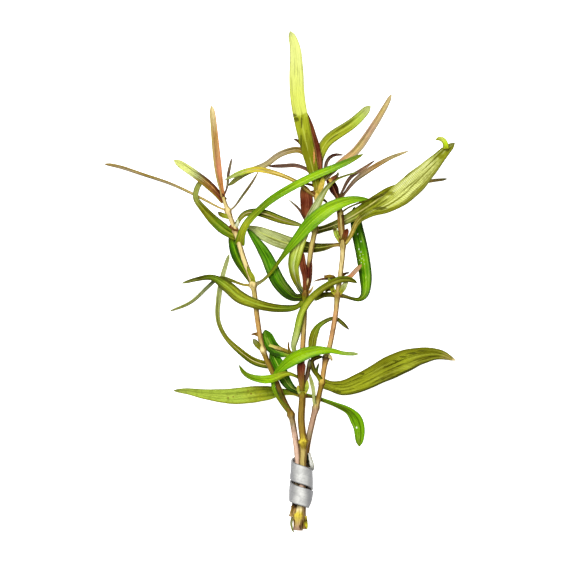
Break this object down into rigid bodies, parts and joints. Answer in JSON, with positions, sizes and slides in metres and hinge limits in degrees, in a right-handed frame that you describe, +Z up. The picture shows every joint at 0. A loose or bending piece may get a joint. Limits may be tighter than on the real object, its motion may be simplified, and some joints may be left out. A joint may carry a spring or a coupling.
{
  "type": "bunch of aquarium stem plant",
  "caption": "Loose bunch of slender jointed water plant stems with long narrow green, olive and red leaves, bound at the foot by a wound lead strip and lying down.",
  "frame": {"origin": "on the surface that the bunch lies on, under the middle of its bounding box", "axes": "+Y along the bunch from the cut ends to the growing tips, +X to its right seen from above, +Z up off the surface"},
  "size_m": [0.1412, 0.2012, 0.0212],
  "materials": {
    "bright_leaf": "smooth, slightly glossy fresh green leaf skin with a paler midrib",
    "dark_leaf": "smooth deep green leaf skin with a bright midrib",
    "olive_leaf": "satin olive leaf skin with fine lengthwise veins",
    "pale_leaf": "satin pale yellow-green leaf skin with fine veins",
    "yellow_leaf": "satin yellow leaf skin shading to red at the foot",
    "red_leaf": "satin dark red-brown young leaf skin",
    "tan_leaf": "satin tan to orange leaf skin",
    "stem": "satin straw-coloured stem skin, browner at the joints",
    "lead": "dull light grey rolled lead"
  },
  "bodies": {
    "root": {"lead_strip": "lead", "left_arch_leaf": "olive_leaf", "left_axil_leaf": "olive_leaf", "left_bright_centre_leaf": "bright_leaf", "left_bright_low_leaf": "bright_leaf", "left_bright_upper_leaf": "bright_leaf", "left_bud_leaf": "olive_leaf", "left_curl_leaf": "olive_leaf", "left_dark_leaf": "dark_leaf", "left_far_leaf": "tan_leaf", "left_inner_thin_leaf": "tan_leaf", "left_purple_leaf": "red_leaf", "left_slanting_leaf": "yellow_leaf", "left_stem": "stem", "left_stub_leaf": "olive_leaf", "left_trailing_thin_leaf": "olive_leaf", "left_upright_leaf": "tan_leaf", "middle_arc_leaf": "pale_leaf", "middle_arc_right_leaf": "olive_leaf", "middle_broad_red_leaf": "red_leaf", "middle_brown_arc_leaf": "olive_leaf", "middle_c_leaf": "pale_leaf", "middle_curled_leaf": "dark_leaf", "middle_dark_green_leaf": "dark_leaf", "middle_dark_olive_leaf": "olive_leaf", "middle_drooping_leaf": "bright_leaf", "middle_long_left_leaf": "olive_leaf", "middle_low_red_leaf": "red_leaf", "middle_lower_back_leaf": "dark_leaf", "middle_pale_sweep_leaf": "pale_leaf", "middle_red_back_leaf": "red_leaf", "middle_sheath_leaf_left": "red_leaf", "middle_sheath_leaf_right": "red_leaf", "middle_sickle_leaf": "bright_leaf", "middle_small_dark_leaf": "dark_leaf", "middle_stem": "stem", "middle_stub_leaf": "red_leaf", "middle_tall_leaf": "pale_leaf", "middle_tan_leaf": "tan_leaf", "middle_thin_purple_leaf": "red_leaf", "middle_thin_red_leaf": "red_leaf", "middle_upper_right_leaf": "olive_leaf", "middle_wide_low_leaf": "pale_leaf", "middle_yellow_leaf": "yellow_leaf", "right_axil_pale_leaf": "pale_leaf", "right_axil_red_leaf": "red_leaf", "right_big_low_leaf": "olive_leaf", "right_big_pale_leaf": "pale_leaf", "right_brown_long_leaf": "tan_leaf", "right_dark_curl_leaf": "dark_leaf", "right_dark_thin_leaf": "red_leaf", "right_edge_on_leaf": "tan_leaf", "right_grey_leaf": "olive_leaf", "right_hanging_leaf": "dark_leaf", "right_pale_low_leaf": "pale_leaf", "right_pink_leaf": "tan_leaf", "right_purple_thin_leaf": "red_leaf", "right_red_tip_leaf": "red_leaf", "right_stem": "stem"}
  },
  "joints": []
}
